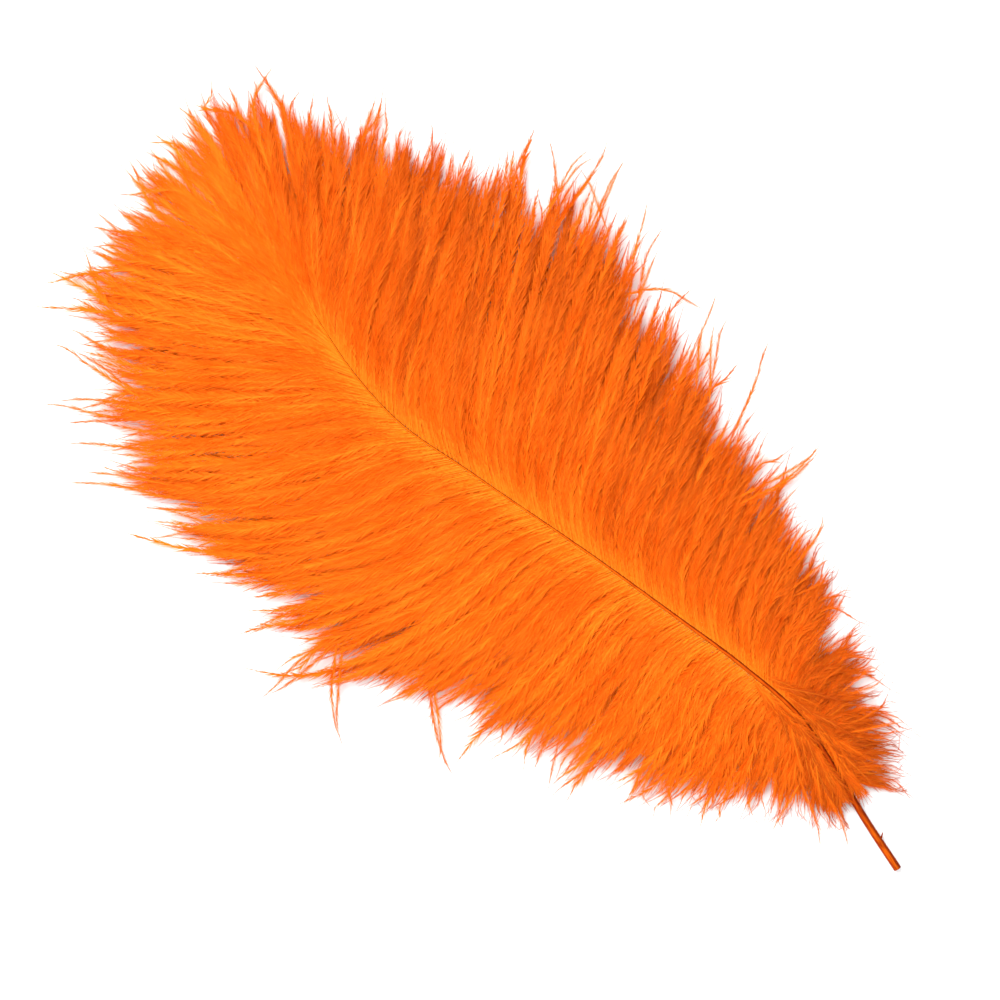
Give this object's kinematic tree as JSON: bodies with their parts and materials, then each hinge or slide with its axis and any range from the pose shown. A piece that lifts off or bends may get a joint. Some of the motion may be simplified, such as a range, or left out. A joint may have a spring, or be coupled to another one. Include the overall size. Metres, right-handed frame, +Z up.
{
  "type": "ostrich feather",
  "caption": "Large dyed ostrich plume with a bare cut quill, a thin curved shaft and soft barbs in pointed locks on both sides; a decoration for hats, costumes and vases.",
  "frame": {"origin": "Under the middle of the feather's box, on the surface that it lies on", "axes": "+Y along the feather from the cut quill to the tip of the plume, +Z up from the surface, +X to the right of the shaft seen from above with the tip away from the viewer"},
  "size_m": [0.2152, 0.3508, 0.0102],
  "materials": {
    "dyed_quill": "Orange-brown dyed keratin, smooth and slightly glossy, darker along its edges",
    "dyed_barbs": "Bright orange dyed down: soft, matt, fibrous barbs with fine fluffy barbules"
  },
  "bodies": {
    "root": {"shaft": "dyed_quill", "left_vane": "dyed_barbs", "right_vane": "dyed_barbs"}
  },
  "joints": []
}
